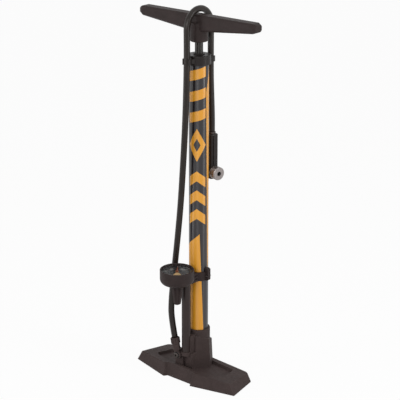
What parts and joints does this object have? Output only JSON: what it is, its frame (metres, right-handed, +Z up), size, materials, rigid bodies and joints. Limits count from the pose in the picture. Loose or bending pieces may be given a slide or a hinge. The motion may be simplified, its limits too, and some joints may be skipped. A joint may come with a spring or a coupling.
{
  "type": "bicycle floor pump",
  "caption": "Upright floor pump with a winged foot, slim barrel, T-handle, face-up pressure gauge on a riser column and an air hose with a lever head",
  "frame": {"origin": "centre of the round rubber pad under the barrel, on the floor", "axes": "+X runs along the foot and the handle to the right wing, +Y points to the straight back edge of the foot, away from the gauge, +Z runs up the barrel"},
  "size_m": [0.252, 0.1305, 0.664],
  "materials": {
    "charcoal_plastic": "fine grained moulding",
    "black_rubber": "smooth",
    "hose_rubber": "smooth, slightly glossy",
    "gold_paint": "satin enamel",
    "plain_aluminium": "machined",
    "silver_collar": "satin, knurled",
    "zinc_steel": "zinc plated",
    "dark_rod": "dark plated, polished",
    "brass": "machined",
    "dial_print": "dark dial with a light printed scale",
    "needle_red": "enamel",
    "clear_lens": "clear polished"
  },
  "bodies": {
    "pump": {"base_foot": "charcoal_plastic", "foot_pad_left": "black_rubber", "foot_pad_right": "black_rubber", "foot_pad_centre": "black_rubber", "base_screws": "zinc_steel", "barrel_tube": "gold_paint", "barrel_plug": "plain_aluminium", "plug_oring": "black_rubber", "valve_spring": "zinc_steel", "gauge_riser": "charcoal_plastic", "hose_union": "charcoal_plastic", "union_bolt": "zinc_steel", "union_seals": "black_rubber", "hose_sleeve": "charcoal_plastic", "hose_riser": "hose_rubber", "hose_drop": "hose_rubber", "gauge_housing": "charcoal_plastic", "clamp_half": "charcoal_plastic", "clamp_screws": "zinc_steel", "gauge_bezel": "charcoal_plastic", "gauge_lens": "clear_lens", "gauge_dial": "dial_print", "gauge_movement": "brass", "bourdon_tube": "brass", "top_cap": "charcoal_plastic", "rod_bush": "charcoal_plastic", "rod_seal": "black_rubber", "end_buffer": "black_rubber", "head_body": "charcoal_plastic", "head_ferrule": "plain_aluminium", "chuck_cap": "silver_collar", "chuck_gasket": "black_rubber", "lever_pin": "zinc_steel"},
    "plunger": {"piston_rod": "dark_rod", "rod_insert": "plain_aluminium", "piston": "charcoal_plastic", "piston_seal": "black_rubber", "piston_screw": "zinc_steel", "handle_washer": "zinc_steel", "handle_bolt": "zinc_steel", "hose_loop": "hose_rubber"},
    "handle": {"handle_bar": "charcoal_plastic", "handle_plug": "charcoal_plastic"},
    "needle": {"gauge_needle": "needle_red"},
    "lever": {"head_lever": "charcoal_plastic"},
    "pusher": {"head_plunger": "charcoal_plastic"},
    "valve": {"check_ball": "zinc_steel"}
  },
  "joints": [
    {"name": "rod_slide", "type": "slide", "parent": "pump", "child": "plunger", "axis": [0, 0, 1], "range_m": [0, 0.474]},
    {"name": "handle_turn", "type": "hinge", "parent": "plunger", "child": "handle", "pos_m": [0, 0, 0.64], "axis": [0, 0, 1], "range_deg": [-15, 15]},
    {"name": "needle_sweep", "type": "hinge", "parent": "pump", "child": "needle", "pos_m": [0, -0.057, 0.209], "axis": [0, 0, -1], "range_deg": [0, 270], "stiffness_Nm_per_rad": 0.0004},
    {"name": "lever_throw", "type": "hinge", "parent": "pump", "child": "lever", "pos_m": [-0.00628, 0.03391, 0.37], "axis": [-0.225, -0.9744, 0], "range_deg": [0, 90]},
    {"name": "pusher_slide", "type": "slide", "parent": "pump", "child": "pusher", "axis": [0.9744, -0.225, 0], "range_m": [0, 0.002]},
    {"name": "check_lift", "type": "slide", "parent": "pump", "child": "valve", "axis": [0, 0, -1], "range_m": [0, 0.002], "stiffness_N_per_m": 100, "springref_m": -0.002, "deforming": ["valve_spring"]}
  ],
  "couplings": [
    {"joint": "pusher_slide", "follows": "lever_throw", "m_per_rad": 0.001273}
  ]
}
